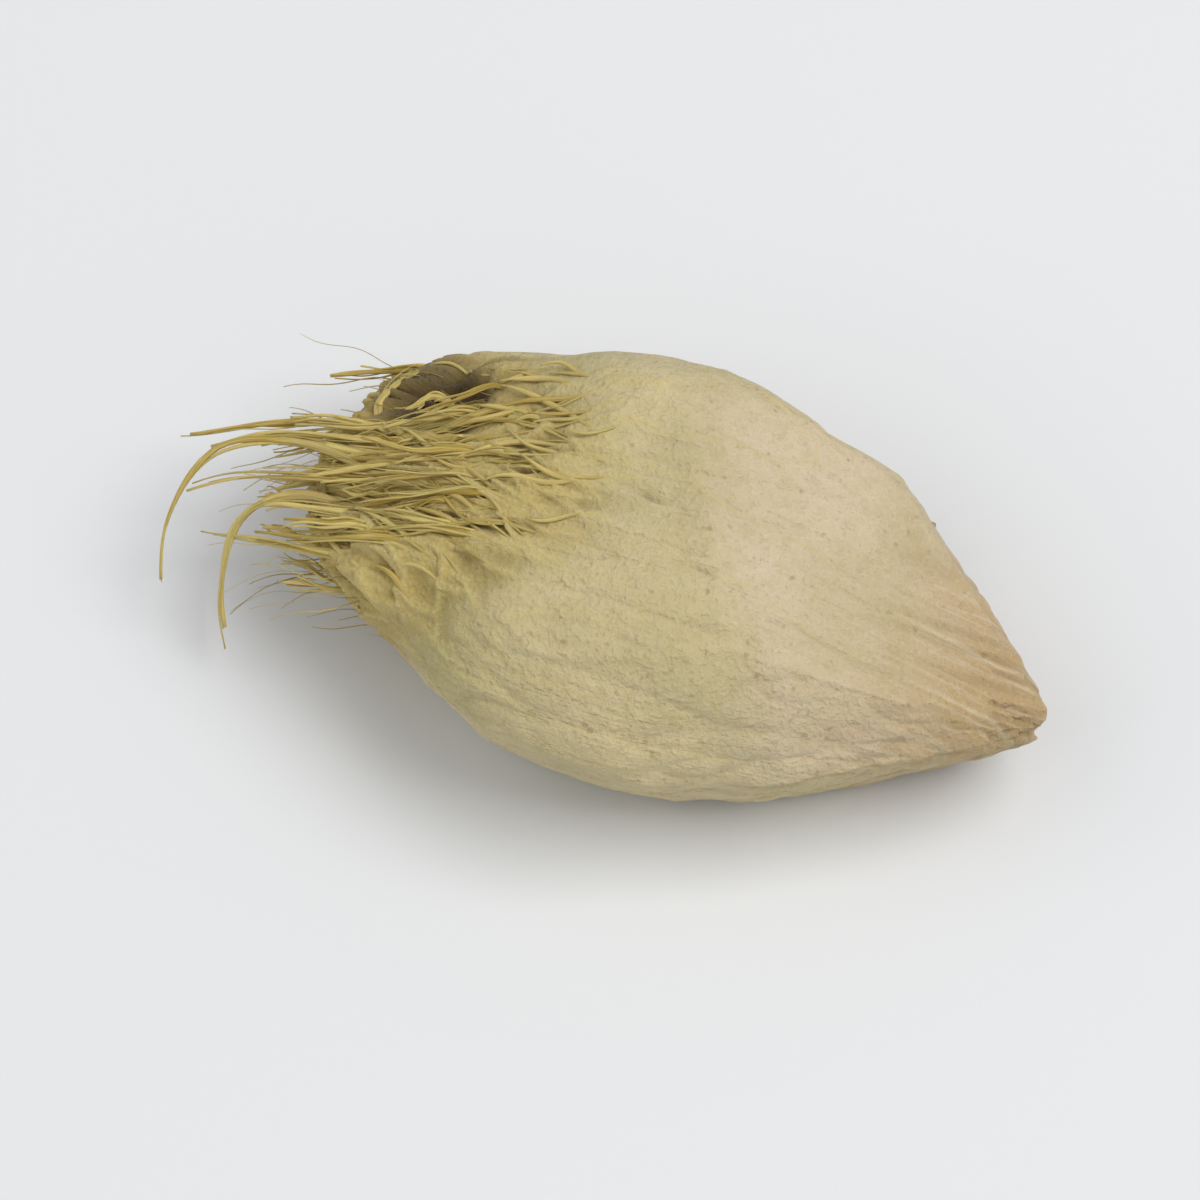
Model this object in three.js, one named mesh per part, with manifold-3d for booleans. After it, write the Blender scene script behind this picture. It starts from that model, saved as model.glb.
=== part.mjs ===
// One piece of dried, chopped ginger root, lying on its flat knife cut.
// The flesh is a chopped chunk with soft edges. One end is frayed, and bundles of root fibre stand out of it.
// Millimetres, +Z up, +X from the frayed end to the pointed tip. The origin is on the surface it lies on.
import * as THREE from "three";
import { mergeVertices } from "three/addons/utils/BufferGeometryUtils.js";
import Module from "manifold-3d";

// Driving dimensions
const FLESH_LENGTH = 9.4; // frayed end to pointed tip, without the free fibres
const FLESH_WIDTH = 5.4;
const FLESH_HEIGHT = 3.8;
const FLAT_DEPTH = 0.12; // how deep the flat that it rests on is pressed into the underside
const FIBRE_REACH = 2.1; // free length of the longest fibre
const FIBRE_THICKNESS = 0.22; // across a bundle at its root
const STRAW_COLOUR = "#c4b48a";
const FINEST = 0.004; // detail smaller than this is merged away

// Each face of the chunk: the compass turn and the upward lean of its outward direction in degrees,
// how far it stands from the heart of the chunk, and how deep the flesh shrank in its middle.
const HALF_LENGTH = FLESH_LENGTH / 2;
const HALF_WIDTH = FLESH_WIDTH / 2;
const HEART = new THREE.Vector3(0, 0, 0.45 * FLESH_HEIGHT);
const ABOVE = FLESH_HEIGHT - HEART.z;
const BELOW = HEART.z + FLAT_DEPTH;
const FACES = {
  frayedEnd: { turn: 178, lean: 8, reach: 1.1 * HALF_LENGTH, hollow: 0 },
  farLeftRind: { turn: 104, lean: 18, reach: 1.13 * HALF_WIDTH, hollow: 0 },
  farRind: { turn: 75, lean: 14, reach: 1.1 * HALF_WIDTH, hollow: 0 },
  farRightCut: { turn: 47, lean: 16, reach: 1.26 * HALF_WIDTH, hollow: 0.08 },
  nearRightCut: { turn: -62, lean: 32, reach: 0.96 * HALF_WIDTH, hollow: 0.05 },
  nearCut: { turn: -84, lean: 44, reach: 0.94 * HALF_WIDTH, hollow: 0.05 },
  nearLeftCut: { turn: -124, lean: 40, reach: 1.06 * HALF_WIDTH, hollow: 0.06 },
  crown: { turn: -122, lean: 80, reach: 0.98 * ABOVE, hollow: 0.1 },
  fallToTip: { turn: 17, lean: 66, reach: 1.06 * ABOVE, hollow: 0.08 },
  fallToFray: { turn: 165, lean: 60, reach: 1.24 * ABOVE, hollow: 0.06 },
  underNear: { turn: -92, lean: -24, reach: 1.32 * BELOW, hollow: 0 },
  underNearRight: { turn: -60, lean: -22, reach: 1.42 * BELOW, hollow: 0 },
  underNearLeft: { turn: -126, lean: -20, reach: 1.56 * BELOW, hollow: 0 },
  underFar: { turn: 95, lean: -42, reach: 1.26 * BELOW, hollow: 0 },
  underTip: { turn: 4, lean: -38, reach: 2.25 * BELOW, hollow: 0 },
  underFray: { turn: 172, lean: -40, reach: 2 * BELOW, hollow: 0 },
  under: { turn: 0, lean: -90, reach: BELOW, hollow: 0 },
};
const EDGE_SHARPNESS = 9; // the power of the norm that rounds the edges: higher is sharper
const TIP_SHARPNESS = { more: 9, from: 0.5, to: 0.98 }; // added to it as a direction turns to the tip
const HOLLOW_FROM = 0.45; // a face's share of the pull where its hollow begins
const AROUND = 76;
const ALONG = 52;

// The frayed end: ridges of fibre that swell towards it, and a pit where a bundle was torn out.
const FRAY = { from: -1.0, to: -4.3, leftOfAxis: 0.7, ridges: 15, uneven: 1.1, height: 0.12 };
const PIT = { at: [-3.45, 1.45], radius: 0.55, depth: 0.65 };
// The rind left on the far side: wrinkles along the root, and one scar ring across it.
const RIND = { wrinkle: 0.95, height: 0.07, meander: 0.22 };
const SCAR = { at: 0.6, width: 0.35, height: 0.05, meander: 0.15 };
const RIND_FADE = [0.25, 0.9]; // the far faces' share of the pull where the rind begins and is whole
const RIND_TOP = [2, 2.9]; // the height where the rind thins out and where it ends

// The brush of free fibres. Each leaves the flesh in a direction from its heart, spread evenly over these
// turns and leans in degrees. They run together towards a point left of the end, droop a little, and many
// are short broken stubs.
const BRUSH = {
  count: 34,
  turn: [148, 201],
  lean: [-8, 40],
  sunk: 0.8,
  shortest: 0.2,
  drift: -0.2,
  gather: 0.2,
  lift: 0.02,
  wander: 0.42,
  curl: 0.5,
  droop: 0.4,
  thinnest: 0.55,
  taper: 0.4,
  sides: 5,
  steps: 7,
};
// Strands that lie along the flesh before they leave it: where they start along X, their place across, their
// free reach and their sideways drift.
const STRANDS = [
  { from: -1.7, across: 1.3, reach: 0.9, drift: -0.15 },
  { from: -1.5, across: 0.95, reach: 1.7, drift: -0.3 },
  { from: -2.1, across: 0.65, reach: 1.2, drift: -0.1 },
  { from: -1.6, across: 0.1, reach: 1.9, drift: -0.35 },
  { from: -2.3, across: -0.5, reach: 0.8, drift: -0.2 },
];
const STRAND = { end: -0.9 * HALF_LENGTH, gather: 0.3, sag: 0.4 };
// The loose loop of fibre round the pit: places along X and across, in order.
const LOOP = [
  [-2.8, 1.15],
  [-3.2, 0.85],
  [-3.75, 0.92],
  [-4.08, 1.4],
  [-3.75, 1.95],
  [-3.1, 2.0],
];
// Long fibres that leave the end and hang down in front of it: their points, the first inside the flesh.
const HANGING = [
  [
    [-3.6, 0.35, 2.2],
    [-4.7, 0.4, 2.35],
    [-5.7, 0.1, 2.15],
    [-6.1, -0.7, 1.5],
    [-5.9, -1.6, 0.8],
  ],
  [
    [-3.4, -0.2, 2.1],
    [-4.5, -0.2, 2.2],
    [-5.2, -0.55, 1.8],
    [-5.25, -1.2, 1.1],
    [-5.0, -1.7, 0.5],
  ],
];

const EVEN_STEP = [0.7548776662, 0.5698402910]; // steps that spread points evenly over a square
const { degToRad, lerp, smoothstep } = THREE.MathUtils;

// A fixed pseudo-random draw between 0 and 1 for item number i and property number k.
function draw(i, k) {
  const s = Math.sin(12.9898 * (i + 1) + 78.233 * (k + 1)) * 43758.5453;
  return s - Math.floor(s);
}

// The unit outward direction of a face from its turn and lean.
function outward({ turn, lean }) {
  const a = degToRad(turn);
  const e = degToRad(lean);
  return new THREE.Vector3(Math.cos(a) * Math.cos(e), Math.sin(a) * Math.cos(e), Math.sin(e));
}

const faces = Object.entries(FACES).map(([name, face]) => ({ name, ...face, normal: outward(face) }));

// How far along the frayed end's ridges a place is: 0 on smooth flesh, 1 at the end.
function frayed(x, y) {
  const start = FRAY.from + FRAY.leftOfAxis * Math.min(y, 0);
  return smoothstep(start - x, 0, start - FRAY.to);
}

// The point of the flesh's surface in a direction from its heart. The distance is one over the p-norm of the
// faces' pulls, so each face is a flat and the edges between them are round. Hollows, ridges, the pit,
// wrinkles and the scar ring are then added to that distance, and what would go below the ground is pressed
// flat.
function fleshPoint(direction) {
  const { more, from, to } = TIP_SHARPNESS;
  const sharpness = EDGE_SHARPNESS + more * smoothstep(direction.x, from, to);
  const pulls = faces.map((f) => Math.max(0, f.normal.dot(direction) / f.reach) ** sharpness);
  const total = pulls.reduce((sum, pull) => sum + pull, 0);
  let distance = total ** (-1 / sharpness);
  const base = direction.clone().multiplyScalar(distance).add(HEART);
  const share = (name) => pulls[faces.findIndex((f) => f.name === name)] / total;

  faces.forEach((f, i) => (distance -= f.hollow * smoothstep(pulls[i] / total, HOLLOW_FROM, 1)));

  const around = Math.atan2(direction.z * FLESH_WIDTH, direction.y * FLESH_HEIGHT);
  const wave = Math.sin((FRAY.ridges / 2) * around + FRAY.uneven * Math.sin(2 * around));
  distance += FRAY.height * frayed(base.x, base.y) * (2 * Math.abs(wave) - 1);

  const fromPit = Math.hypot(base.x - PIT.at[0], base.y - PIT.at[1]) / PIT.radius;
  if (direction.z > 0) distance -= PIT.depth * Math.exp(-fromPit * fromPit);

  const far = share("farLeftRind") + share("farRind") + 0.5 * share("underFar");
  const rind = smoothstep(far, ...RIND_FADE) * (1 - smoothstep(base.z, ...RIND_TOP));
  const line = (base.z + RIND.meander * Math.sin(1.7 * base.x)) / RIND.wrinkle;
  distance += rind * RIND.height * Math.sin(2 * Math.PI * line);
  const fromScar = (base.x - SCAR.at + SCAR.meander * Math.sin(2 * base.z)) / SCAR.width;
  distance += rind * SCAR.height * Math.exp(-fromScar * fromScar);

  const point = direction.clone().multiplyScalar(distance).add(HEART);
  point.z = Math.max(point.z, 0);
  return point;
}

// The flesh: a sphere whose poles are the frayed end and the tip, with each point moved to the surface.
function fleshGeometry() {
  const geometry = new THREE.SphereGeometry(1, AROUND, ALONG).rotateZ(Math.PI / 2);
  geometry.scale(HALF_LENGTH, HALF_WIDTH, ABOVE);
  const position = geometry.getAttribute("position");
  const direction = new THREE.Vector3();
  for (let i = 0; i < position.count; i++) {
    direction.fromBufferAttribute(position, i).normalize();
    position.setXYZ(i, ...fleshPoint(direction));
  }
  return geometry;
}

// The point of the flesh's upper side over a place, found by halving the angle above the heart.
function topPoint(x, y) {
  let low = 0;
  let high = Math.PI / 2;
  const flat = new THREE.Vector2(x, y);
  const level = flat.length();
  let point = new THREE.Vector3();
  for (let i = 0; i < 24; i++) {
    const angle = (low + high) / 2;
    const direction = new THREE.Vector3(
      (x / level) * Math.cos(angle),
      (y / level) * Math.cos(angle),
      Math.sin(angle),
    );
    point = fleshPoint(direction);
    if (Math.hypot(point.x, point.y) > level) low = angle;
    else high = angle;
  }
  return point;
}

// A fibre: a round, tapering rod bent along a smooth curve through the points.
function fibreGeometry(points, rootRadius, tipRadius) {
  const curve = new THREE.CatmullRomCurve3(points);
  const rod = new THREE.CylinderGeometry(tipRadius, rootRadius, 1, BRUSH.sides, BRUSH.steps);
  const position = rod.getAttribute("position");
  const frames = curve.computeFrenetFrames(BRUSH.steps);
  for (let i = 0; i < position.count; i++) {
    const step = Math.round((position.getY(i) + 0.5) * BRUSH.steps);
    const place = curve.getPointAt(step / BRUSH.steps);
    place.addScaledVector(frames.normals[step], position.getX(i));
    place.addScaledVector(frames.binormals[step], -position.getZ(i));
    position.setXYZ(i, ...place);
  }
  return rod;
}

// The points of brush fibre number i: sunk in the flesh, out of the frayed end, then splayed and curled.
function brushFibre(i) {
  const [u, v] = EVEN_STEP.map((step) => (0.5 + step * i) % 1);
  const turn = lerp(...BRUSH.turn, u);
  const lean = lerp(...BRUSH.lean, v);
  const exit = fleshPoint(outward({ turn, lean }));
  const root = exit.clone().lerp(HEART, BRUSH.sunk / exit.distanceTo(HEART));
  const reach = FIBRE_REACH * lerp(BRUSH.shortest, 1, draw(i, 0) ** 1.4);
  const slopeY = BRUSH.drift - BRUSH.gather * exit.y + BRUSH.wander * (draw(i, 1) - 0.5);
  const slopeZ = BRUSH.lift - BRUSH.gather * (exit.z - HEART.z) + BRUSH.wander * (draw(i, 2) - 0.5);
  const curlY = (BRUSH.curl * (draw(i, 3) - 0.5)) / FIBRE_REACH;
  const curlZ = (-BRUSH.droop * draw(i, 4)) / FIBRE_REACH;
  const along = (t) =>
    new THREE.Vector3(-t, slopeY * t + curlY * t * t, slopeZ * t + curlZ * t * t).add(exit);
  return [root, exit, along(0.5 * reach), along(reach)];
}

// The points of a strand that lies half sunk along the top of the flesh and runs out over the frayed end.
function strandFibre({ from, across, reach, drift }) {
  const lying = [0, 0.4, 0.8].map((share) =>
    topPoint(lerp(from, STRAND.end, share), across * (1 - STRAND.gather * share)),
  );
  lying[0].z -= FIBRE_THICKNESS;
  const last = lying.at(-1);
  const free = [0.5, 1].map(
    (share) =>
      new THREE.Vector3(
        STRAND.end - share * reach,
        last.y + share * drift * reach,
        last.z - share * share * STRAND.sag * reach,
      ),
  );
  return [...lying, ...free];
}

// The points of the loop round the pit. Its two ends dive into the flesh.
function loopFibre() {
  const points = LOOP.map(([x, y]) => topPoint(x, y));
  points[0].z -= FIBRE_THICKNESS;
  points.at(-1).z -= FIBRE_THICKNESS;
  return points;
}

const wasm = await Module();
wasm.setup();

// A closed three.js geometry as a manifold solid, with its shared vertices merged.
function solidFrom(geometry) {
  const bare = geometry.clone();
  bare.deleteAttribute("normal");
  bare.deleteAttribute("uv");
  const merged = mergeVertices(bare, 1e-4);
  return new wasm.Manifold(
    new wasm.Mesh({
      numProp: 3,
      vertProperties: merged.getAttribute("position").array,
      triVerts: new Uint32Array(merged.index.array),
    }),
  );
}

// A manifold solid as a three.js geometry.
function geometryFrom(solid) {
  const mesh = solid.getMesh();
  const geometry = new THREE.BufferGeometry();
  geometry.setAttribute("position", new THREE.BufferAttribute(mesh.vertProperties, mesh.numProp));
  geometry.setIndex(new THREE.BufferAttribute(mesh.triVerts, 1));
  geometry.computeVertexNormals();
  return geometry;
}

// The root piece: flesh and fibres grown together as one body. Hollows that crossing fibres seal are filled.
function rootPiece() {
  const radius = FIBRE_THICKNESS / 2;
  let solid = solidFrom(fleshGeometry());
  const routes = Array.from({ length: BRUSH.count }, (_, i) => brushFibre(i));
  STRANDS.forEach((strand) => routes.push(strandFibre(strand)));
  routes.push(loopFibre());
  HANGING.forEach((points) => routes.push(points.map((place) => new THREE.Vector3(...place))));
  routes.forEach((route, i) => {
    const root = radius * lerp(BRUSH.thinnest, 1, draw(i, 5));
    solid = solid.add(solidFrom(fibreGeometry(route, root, root * BRUSH.taper)));
  });
  const [outside] = solid.simplify(FINEST).decompose().sort((a, b) => b.volume() - a.volume());
  const material = new THREE.MeshStandardMaterial({ color: STRAW_COLOUR, roughness: 0.85, metalness: 0 });
  const mesh = new THREE.Mesh(geometryFrom(outside), material);
  mesh.name = "ginger_root_piece";
  return mesh;
}

const ginger = new THREE.Group();
ginger.add(rootPiece());

export default ginger;
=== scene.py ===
"""Looks of one piece of dried, chopped ginger root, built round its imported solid.

The flesh is a chunk with soft knife-cut faces, a patch of rind on its far side and a torn end.
Root fibres lie along the torn end and stand out of it. Sizes are in millimetres until a mesh is made.
A pair of numbers is a range, or where a soft step starts and where it is full.
"""

from __future__ import annotations

import logging
from dataclasses import dataclass, field
from enum import Enum, IntEnum, auto

import bpy
import numpy as np
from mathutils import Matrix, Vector

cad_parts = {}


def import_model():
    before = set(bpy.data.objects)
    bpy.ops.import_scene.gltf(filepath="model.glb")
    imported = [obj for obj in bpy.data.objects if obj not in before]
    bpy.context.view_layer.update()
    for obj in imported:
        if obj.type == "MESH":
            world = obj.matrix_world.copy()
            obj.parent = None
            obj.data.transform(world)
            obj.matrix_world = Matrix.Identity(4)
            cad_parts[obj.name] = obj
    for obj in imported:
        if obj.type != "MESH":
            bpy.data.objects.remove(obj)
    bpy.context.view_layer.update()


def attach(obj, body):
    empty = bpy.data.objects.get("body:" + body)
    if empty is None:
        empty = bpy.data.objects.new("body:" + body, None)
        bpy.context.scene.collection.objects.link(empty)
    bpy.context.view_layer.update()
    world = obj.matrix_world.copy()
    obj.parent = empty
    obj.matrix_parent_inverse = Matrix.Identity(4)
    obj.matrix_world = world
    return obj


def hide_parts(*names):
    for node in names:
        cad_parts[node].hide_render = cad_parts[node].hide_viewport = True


LOG = logging.getLogger("ginger")
MM = 0.001
BODY = "root"
NODE = "ginger_root_piece"

# Lengths of the piece, the same as those of its solid
FLESH_LENGTH = 9.4
FLESH_WIDTH = 5.4
FLESH_HEIGHT = 3.8
FLAT_DEPTH = 0.12
FIBRE_REACH = 2.1
FIBRE_THICKNESS = 0.22

# On the near side the torn end's border falls back: its slope, and where across it begins
BORDER_NEAR_SLOPE = 0.95
BORDER_NEAR_FROM = -0.2

# The steps that spread fixed draws
DRAW_SCALE = 43758.5453
ITEM_STEP = 12.9898
KIND_STEP = 78.233
SEED_STEP = 53.3
OCTAVE_STEP = 17.3
STRIP_STEP = 7.3
CELL_STEPS = np.array([127.1, 311.7, 74.7])
SPOT_STEPS = np.array([[127.1, 269.5, 113.5], [311.7, 183.3, 271.9], [74.7, 246.1, 124.6]])

# A drawn phase spans about one turn, in radians
ANY_PHASE = 6.0

# A direction that no fibre follows, and how far a rod's tint moves its pattern on
NEARLY_UP = np.array([0.11, 0.07, 1.0])
TINT_STEP = 40.0


class Drawn(IntEnum):
    """The properties that are drawn for each fibre. Each has a set of draws of its own."""

    BUNDLE_REACH = 0
    BUNDLE_DRIFT = 1
    BUNDLE_LIFT = 2
    BUNDLE_CURL = 3
    BUNDLE_DROOP = 4
    BUNDLE_THICKNESS = 5
    STRAND_START = 20
    STRAND_LENGTH = 21
    STRAND_ACROSS = 22
    STRAND_SLANT = 23
    STRAND_PHASE = 24
    STRAND_RADIUS = 25
    STRAND_LIFT = 26
    STRAND_WAVE = 27
    STRAND_TINT = 28
    STRAND_BENDS = 29
    FILAMENT_END = 30
    FILAMENT_PLACE = 31
    FILAMENT_TWIST = 32
    FILAMENT_APART = 33
    FILAMENT_PARTING = 34
    FILAMENT_BENDS = 35
    FILAMENT_PHASE = 36
    FILAMENT_RADIUS = 37
    FILAMENT_TINT = 38
    FILAMENT_KNOTS = 39
    HAIR_TURN = 40
    HAIR_LEAN = 41
    HAIR_REACH = 42
    HAIR_RISE = 43
    HAIR_CURL = 44
    HAIR_DRIFT = 45
    HAIR_BEND = 46
    HAIR_PHASE = 47
    HAIR_RADIUS = 48
    HAIR_TINT = 49


def linear(code: str) -> tuple[float, float, float, float]:
    """Turns an sRGB hex colour to linear red, green, blue and alpha.

    Args:
        code: The colour as "#rrggbb".

    Returns:
        Four numbers from 0 to 1, with alpha 1.
    """
    srgb = np.array([int(code[i : i + 2], 16) for i in (1, 3, 5)]) / 255
    low = srgb / 12.92
    high = ((srgb + 0.055) / 1.055) ** 2.4
    return (*np.where(srgb <= 0.04045, low, high).tolist(), 1.0)


def per_mm(size: float) -> float:
    """Gives the texture scale on Object coordinates whose features are size millimetres wide."""
    return 1 / (size * MM)


def fraction(value: np.ndarray) -> np.ndarray:
    """Gives fixed pseudo-random numbers from 0 to 1: the fraction of a large sine of each value."""
    large = np.sin(value) * DRAW_SCALE
    return large - np.floor(large)


def draw(item: np.ndarray, kind: int) -> np.ndarray:
    """Draws one number from 0 to 1 for each item, from the item's number and the property's."""
    return fraction(ITEM_STEP * (np.asarray(item, float) + 1) + KIND_STEP * (kind + 1))


def lerp(low: float, high: float, share: np.ndarray | float) -> np.ndarray | float:
    """Gives the value at a share of the way from low to high."""
    return low + (high - low) * share


def smoothstep(value: np.ndarray, low: np.ndarray | float, high: np.ndarray | float) -> np.ndarray:
    """Gives the soft step from 0 at low to 1 at high: 3t squared minus 2t cubed."""
    t = np.clip((value - low) / (high - low), 0, 1)
    return t * t * (3 - 2 * t)


def facing(turn: np.ndarray | float, lean: np.ndarray | float) -> np.ndarray:
    """Gives unit vectors from turns about Z, which start at X, and leans above the horizon, in degrees."""
    turn, lean = np.radians(turn), np.radians(lean)
    return np.stack([np.cos(turn) * np.cos(lean), np.sin(turn) * np.cos(lean), np.sin(lean)], axis=-1)


def lattice_noise(points: np.ndarray, seed: int) -> np.ndarray:
    """Gives smooth value noise: a fixed draw at each corner of a unit lattice, blended by a quintic step.

    Args:
        points: Places, one row each, in lattice units.
        seed: Chooses another set of draws.

    Returns:
        One value from -1 to 1 for each place.
    """
    corner = np.floor(points)
    part = points - corner
    step = part**3 * (part * (part * 6 - 15) + 10)
    total = np.zeros(len(points))
    for offset in np.ndindex(2, 2, 2):
        weight = np.where(np.array(offset) == 1, step, 1 - step).prod(axis=1)
        total += weight * fraction((corner + offset) @ CELL_STEPS + SEED_STEP * seed)
    return 2 * total - 1


def spot_field(points: np.ndarray, size: float, seed: int) -> np.ndarray:
    """Gives the distance to the nearest of the points scattered one to a cell, in cells.

    Args:
        points: Places in millimetres.
        size: The width of a cell in millimetres.
        seed: Chooses another scatter.

    Returns:
        One distance for each place, 0 at a spot.
    """
    cells = points / size
    corner = np.floor(cells)
    nearest = np.full(len(points), np.inf)
    for offset in np.ndindex(3, 3, 3):
        cell = corner + np.array(offset) - 1
        spot = cell + fraction(cell @ SPOT_STEPS + seed)
        nearest = np.minimum(nearest, np.linalg.norm(cells - spot, axis=1))
    return nearest


@dataclass(frozen=True)
class Grain:
    """Noise in octaves, each half as large and half as high as the one before. Its largest features have
    this length along X and this width across, and it is this high, all in millimetres."""

    length: float
    width: float
    height: float
    seed: int
    octaves: int = 2

    def at(self, points: np.ndarray) -> np.ndarray:
        """Gives one value of about -1 to 1 for each place in millimetres."""
        cells = points / np.array([self.length, self.width, self.width])
        layers = [
            lattice_noise(cells * 2**k + OCTAVE_STEP * k, self.seed + k) / 2**k for k in range(self.octaves)
        ]
        return np.sum(layers, axis=0) / (2 - 2 ** (1 - self.octaves))

    def raised(self, points: np.ndarray) -> np.ndarray:
        """Gives the noise at its height in millimetres."""
        return self.height * self.at(points)


@dataclass(frozen=True)
class FibreLines:
    """Fibres as thin lines, one in each strip of an even width. Each has its own place in its strip, bends
    a little, and comes and goes along its length.

    The slant is how far the lines leave the axis for each millimetre along it. The strips are this far
    apart, a line has half this width on each side, and it runs about this length before it fades.
    """

    slant: float
    apart: float
    width: float
    length: float
    seed: int
    bend_size: float = 1.4
    bend_height: float = 0.22
    place: tuple[float, float] = (0.3, 0.7)
    full_width: float = 0.3
    shown: tuple[float, float] = (-0.25, 0.1)

    def at(self, way: np.ndarray) -> np.ndarray:
        """Gives 1 on a line and 0 between lines.

        Args:
            way: Places along and across the fibres, as FleshForm.fibre_way gives them.

        Returns:
            One value for each place.
        """
        bend = Grain(self.bend_size, self.bend_size, self.bend_height, self.seed + 5)
        across = (way[:, 1] + self.slant * way[:, 0] + bend.raised(way)) / self.apart
        strip = np.floor(across)
        off = np.abs(across - strip - lerp(*self.place, draw(strip, self.seed))) * self.apart
        cell = np.stack([way[:, 0] / self.length, STRIP_STEP * strip, 0 * strip], axis=-1)
        shown = smoothstep(lattice_noise(cell, self.seed), *self.shown)
        return smoothstep(off, self.width, self.full_width * self.width) * shown


def smooth_route(points: np.ndarray, shares: np.ndarray) -> np.ndarray:
    """Carries Catmull-Rom curves through the points of many routes at once.

    Args:
        points: Routes by points by 3.
        shares: Routes by rings: the places along each route, from 0 at its first point to 1 at its last.

    Returns:
        Routes by rings by 3.
    """
    before = 2 * points[:, :1] - points[:, 1:2]
    after = 2 * points[:, -1:] - points[:, -2:-1]
    padded = np.concatenate([before, points, after], axis=1)
    spans = points.shape[1] - 1
    at = shares * spans
    first = np.clip(at.astype(int), 0, spans - 1)
    t = (at - first)[:, :, None]
    a, b, c, d = (np.take_along_axis(padded, (first + k)[:, :, None], axis=1) for k in range(4))
    return 0.5 * (2 * b + (c - a) * t + (2 * a - 5 * b + 4 * c - d) * t**2 + (3 * b - a - 3 * c + d) * t**3)


@dataclass(frozen=True)
class Shape:
    """A mesh in millimetres: vertices, faces as rows of corner numbers, and values on the vertices."""

    vertices: np.ndarray
    quads: np.ndarray
    triangles: np.ndarray
    values: dict[str, np.ndarray] = field(default_factory=dict)


def round_rods(centres: np.ndarray, radii: np.ndarray, sides: int, tint: np.ndarray) -> Shape:
    """Carries a round section along many routes. The section stands across the route's tangent.

    Args:
        centres: Rods by rings by 3.
        radii: Rods by rings.
        sides: The number of corners of the section.
        tint: One number for each rod.

    Returns:
        Closed rods, with the values "along", from 0 at the root to 1 at the tip, "tint", and "rod_way": the
        millimetres along the rod and a place on a circle round it, moved on for each rod.
    """
    rods, rings = radii.shape
    tangent = np.gradient(centres, axis=1)
    tangent /= np.linalg.norm(tangent, axis=2, keepdims=True)
    side = np.cross(tangent, NEARLY_UP)
    side /= np.linalg.norm(side, axis=2, keepdims=True)
    up = np.cross(side, tangent)
    turn = np.arange(sides) * 2 * np.pi / sides
    ring = np.cos(turn)[:, None] * side[:, :, None] + np.sin(turn)[:, None] * up[:, :, None]
    skin = centres[:, :, None] + radii[:, :, None, None] * ring
    number = np.arange(rods * rings * sides).reshape(rods, rings, sides)
    following = np.roll(number, -1, axis=2)
    quads = np.stack([number[:, :-1], number[:, 1:], following[:, 1:], following[:, :-1]], axis=-1)
    ends = rods * rings * sides + np.arange(rods * 2).reshape(rods, 2)
    root = np.stack([np.repeat(ends[:, :1], sides, 1), number[:, 0], following[:, 0]], axis=-1)
    tip = np.stack([np.repeat(ends[:, 1:], sides, 1), following[:, -1], number[:, -1]], axis=-1)
    along = np.broadcast_to(np.linspace(0, 1, rings)[None, :, None], number.shape)
    run = np.cumsum(np.linalg.norm(np.diff(centres, axis=1, prepend=centres[:, :1]), axis=2), axis=1)
    way = np.zeros((*number.shape, 3))
    way[..., 0] = run[:, :, None] + TINT_STEP * tint[:, None, None]
    way[..., 1], way[..., 2] = np.cos(turn), np.sin(turn)
    return Shape(
        np.concatenate([skin.reshape(-1, 3), centres[:, [0, -1]].reshape(-1, 3)]),
        quads.reshape(-1, 4),
        np.concatenate([root.reshape(-1, 3), tip.reshape(-1, 3)]),
        {
            "along": np.concatenate([along.ravel(), np.tile([0.0, 1.0], rods)]),
            "tint": np.concatenate([np.repeat(tint, rings * sides), np.repeat(tint, 2)]),
            "rod_way": np.concatenate([way.reshape(-1, 3), way[:, [0, -1], 0].reshape(-1, 3)]),
        },
    )


def add_piece(name: str, shape: Shape, material: bpy.types.Material) -> bpy.types.Object:
    """Puts a shape into a smooth-shaded mesh object at the origin that rides on the part's body.

    Args:
        name: The piece's name.
        shape: The mesh in millimetres.
        material: The piece's finish.

    Returns:
        The new object.
    """
    mesh = bpy.data.meshes.new(name)
    mesh.from_pydata((shape.vertices * MM).tolist(), [], shape.quads.tolist() + shape.triangles.tolist())
    mesh.polygons.foreach_set("use_smooth", np.ones(len(mesh.polygons), bool))
    for key, value in shape.values.items():
        is_vector = value.ndim == 2
        layer = mesh.attributes.new(key, "FLOAT_VECTOR" if is_vector else "FLOAT", "POINT")
        layer.data.foreach_set("vector" if is_vector else "value", value.astype(np.float32).ravel())
    mesh.update()
    mesh.materials.append(material)
    piece = bpy.data.objects.new(name, mesh)
    bpy.context.scene.collection.objects.link(piece)
    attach(piece, BODY)
    LOG.info("%s: %d vertices, %d faces", name, len(mesh.vertices), len(mesh.polygons))
    return piece


def new_material(name: str) -> tuple[bpy.types.Material, bpy.types.Node]:
    """Makes a material and gives it with its shader."""
    material = bpy.data.materials.new(name)
    material.use_nodes = True
    return material, material.node_tree.nodes["Principled BSDF"]


def set_inputs(tree: bpy.types.NodeTree, node: bpy.types.Node, inputs: dict) -> None:
    """Sets or links a node's inputs.

    Args:
        tree: The node tree.
        node: The node.
        inputs: Input name or number to a value, or to the output that it is linked from.
    """
    for key, value in inputs.items():
        if isinstance(value, bpy.types.NodeSocket):
            tree.links.new(value, node.inputs[key])
        else:
            node.inputs[key].default_value = value


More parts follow.
